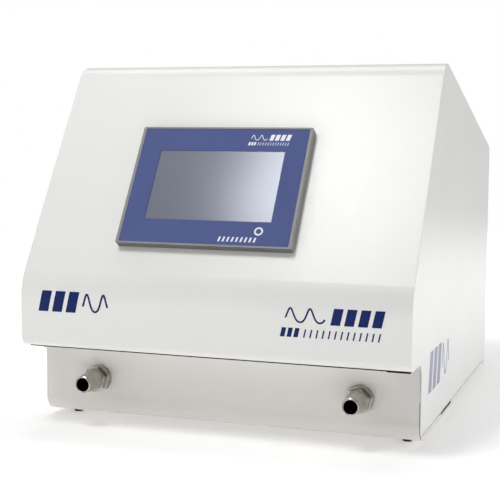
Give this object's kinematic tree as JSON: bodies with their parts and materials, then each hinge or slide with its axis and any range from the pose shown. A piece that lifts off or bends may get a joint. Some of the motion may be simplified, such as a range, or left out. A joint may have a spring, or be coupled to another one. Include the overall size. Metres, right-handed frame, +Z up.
{
  "type": "mechanical ventilator",
  "caption": "Desktop breathing ventilator: white sheet-metal hood with a sloped front and an overhanging lip, off-centre touch panel, metal gas ports below, mains and gas inlets behind.",
  "frame": {"origin": "centre of the footprint, on the surface that the feet stand on", "axes": "+X to the right of someone facing the front, +Y to the back, +Z up"},
  "size_m": [0.46, 0.572, 0.4257],
  "materials": {
    "case_paint": "semi-gloss off-white powder coat with a fine orange-peel",
    "bezel_plastic": "moulded mid-grey plastic with a fine spark texture",
    "overlay_film": "blue satin polyester front film",
    "screen_glass": "switched-off touch screen, satin glass over a grey panel",
    "rubber": "black rubber",
    "black_plastic": "black moulded plastic",
    "dark_plastic": "dark grey moulded plastic",
    "light_plastic": "light grey moulded plastic",
    "plated_brass": "nickel-plated turned brass",
    "zinc_steel": "bright zinc-plated steel",
    "aluminium": "milled aluminium",
    "brass": "turned brass",
    "clear_plastic": "smoked clear polycarbonate",
    "silicone": "milky silicone",
    "circuit_board": "green circuit board",
    "blue_tube": "blue nylon tube",
    "battery_case": "battery case plastic"
  },
  "bodies": {
    "case": {"hood_shell": "case_paint", "hood_side_left": "case_paint", "hood_side_right": "case_paint", "chassis_tray": "case_paint", "rear_panel": "case_paint", "case_screws": "zinc_steel", "rubber_feet": "rubber", "component_plate": "zinc_steel", "plate_pillars": "zinc_steel", "panel_gasket": "rubber", "panel_bezel": "bezel_plastic", "panel_overlay": "overlay_film", "touch_glass": "screen_glass", "display_module": "dark_plastic", "panel_housing": "dark_plastic", "panel_circuit_board": "circuit_board", "panel_clamps": "zinc_steel", "inspiratory_port": "plated_brass", "expiratory_port": "plated_brass", "port_washers": "plated_brass", "port_nuts": "plated_brass", "oxygen_inlet": "brass", "air_inlet": "brass", "inlet_nuts": "brass", "regulator_heads": "light_plastic", "filter_bowls": "clear_plastic", "valve_manifold": "aluminium", "oxygen_valve_body": "brass", "air_valve_body": "brass", "oxygen_valve_coil": "black_plastic", "air_valve_coil": "black_plastic", "mixing_chamber": "aluminium", "oxygen_cell": "light_plastic", "inspiratory_flow_sensor": "light_plastic", "expiratory_flow_sensor": "light_plastic", "relief_valve_body": "aluminium", "relief_valve_cap": "aluminium", "relief_valve_spring": "zinc_steel", "exhalation_valve_body": "light_plastic", "exhalation_diaphragm": "silicone", "exhalation_coil": "dark_plastic", "gas_tubes": "blue_tube", "power_inlet": "black_plastic", "earth_stud": "zinc_steel", "fan_frame": "black_plastic", "fan_guard": "zinc_steel", "power_supply": "aluminium", "battery": "battery_case", "din_rail": "zinc_steel", "controller": "light_plastic", "terminal_blocks": "light_plastic", "control_board": "circuit_board", "alarm_buzzer": "black_plastic"},
    "fan_rotor": {"fan_rotor": "black_plastic"},
    "power_switch": {"power_switch": "black_plastic"},
    "fuse_drawer": {"fuse_drawer": "black_plastic"},
    "oxygen_plunger": {"oxygen_valve_plunger": "zinc_steel"},
    "air_plunger": {"air_valve_plunger": "zinc_steel"},
    "relief_poppet": {"relief_valve_poppet": "brass"},
    "exhalation_plunger": {"exhalation_plunger": "zinc_steel"}
  },
  "joints": [
    {"name": "fan_spin", "type": "hinge", "parent": "case", "child": "fan_rotor", "pos_m": [-0.11, 0.2411, 0.2], "axis": [0, 1, 0], "continuous": true},
    {"name": "switch_rock", "type": "hinge", "parent": "case", "child": "power_switch", "pos_m": [0.167, 0.2521, 0.079], "axis": [1, 0, 0], "range_deg": [-14, 0]},
    {"name": "fuse_drawer_pull", "type": "slide", "parent": "case", "child": "fuse_drawer", "axis": [0, 1, 0], "range_m": [0, 0.018]},
    {"name": "oxygen_valve_stroke", "type": "slide", "parent": "case", "child": "oxygen_plunger", "axis": [0, 0, 1], "range_m": [0, 0.003], "stiffness_N_per_m": 400, "springref_m": -0.002},
    {"name": "air_valve_stroke", "type": "slide", "parent": "case", "child": "air_plunger", "axis": [0, 0, 1], "range_m": [0, 0.003], "stiffness_N_per_m": 400, "springref_m": -0.002},
    {"name": "relief_lift", "type": "slide", "parent": "case", "child": "relief_poppet", "axis": [0, 0, 1], "range_m": [0, 0.004], "stiffness_N_per_m": 500, "springref_m": -0.003, "deforming": ["relief_valve_spring"]},
    {"name": "exhalation_stroke", "type": "slide", "parent": "case", "child": "exhalation_plunger", "axis": [0, 0, 1], "range_m": [0, 0.0025], "stiffness_N_per_m": 200, "springref_m": -0.001}
  ]
}
